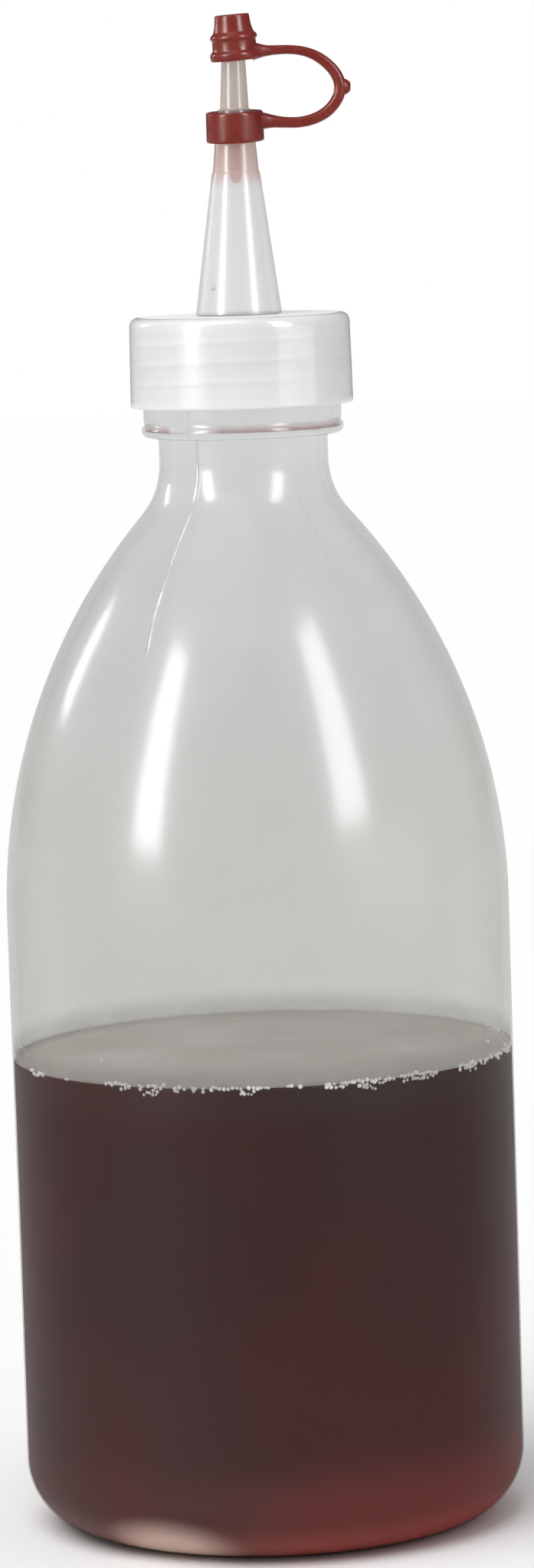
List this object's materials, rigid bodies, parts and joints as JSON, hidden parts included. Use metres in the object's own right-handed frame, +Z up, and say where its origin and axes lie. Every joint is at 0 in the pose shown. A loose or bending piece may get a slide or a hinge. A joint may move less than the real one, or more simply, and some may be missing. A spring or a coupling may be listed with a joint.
{
  "type": "dropper bottle",
  "caption": "Translucent narrow-neck squeeze bottle, part full of dark liquid, with a screw cap, a long dropper cone and a red tip cap held on by a strap.",
  "frame": {"origin": "on the floor, at the centre of the round base", "axes": "+Z up along the bottle's axis; +X towards the outermost point of the tip cap's strap; -Y is the front"},
  "size_m": [0.076, 0.076, 0.2278],
  "materials": {
    "bottle_plastic": "translucent natural low-density polyethylene, soft gloss",
    "liquid": "dark red-brown aqueous liquid",
    "residue": "thin film of the red-brown liquid",
    "spout_plastic": "translucent natural polyethylene, glossy",
    "cap_plastic": "milky natural polypropylene, smooth gloss",
    "red_plastic": "brick-red flexible polyethylene, semi-gloss"
  },
  "bodies": {
    "bottle": {"bottle_body": "bottle_plastic", "liquid_fill": "liquid", "bead_residue_right": "residue", "bead_residue_left": "residue"},
    "spout": {"spout_insert": "spout_plastic", "spout_residue": "residue"},
    "screw_cap": {"screw_cap": "cap_plastic"},
    "tether_ring": {"retaining_ring": "red_plastic"},
    "tether_lower": {"strap_lower": "red_plastic"},
    "tether_upper": {"strap_upper": "red_plastic"},
    "tip_cap": {"tip_cap": "red_plastic"}
  },
  "joints": [
    {"name": "closure_lift", "type": "slide", "parent": "bottle", "child": "spout", "axis": [0, 0, 1], "range_m": [0, 0.0121]},
    {"name": "cap_turn", "type": "hinge", "parent": "spout", "child": "screw_cap", "pos_m": [0, 0, 0.176], "axis": [0, 0, 1], "range_deg": [0, 1440]},
    {"name": "ring_swivel", "type": "hinge", "parent": "spout", "child": "tether_ring", "pos_m": [0, 0, 0.2111], "axis": [0, 0, 1], "continuous": true},
    {"name": "strap_lift", "type": "hinge", "parent": "tether_ring", "child": "tether_lower", "pos_m": [0.0062, 0, 0.2115], "axis": [0, -1, 0], "range_deg": [0, 36]},
    {"name": "strap_fold", "type": "hinge", "parent": "tether_lower", "child": "tether_upper", "pos_m": [0.0155, 0, 0.21685], "axis": [0, -1, 0], "range_deg": [-72.5, 0]},
    {"name": "tip_cap_level", "type": "hinge", "parent": "tether_upper", "child": "tip_cap", "pos_m": [0.0062, 0, 0.2222], "axis": [0, -1, 0], "range_deg": [0, 36.5]}
  ],
  "couplings": [
    {"joint": "closure_lift", "follows": "cap_turn", "m_per_rad": 0.00047746},
    {"joint": "strap_fold", "follows": "strap_lift", "ratio": -2},
    {"joint": "tip_cap_level", "follows": "strap_lift", "ratio": 1}
  ]
}
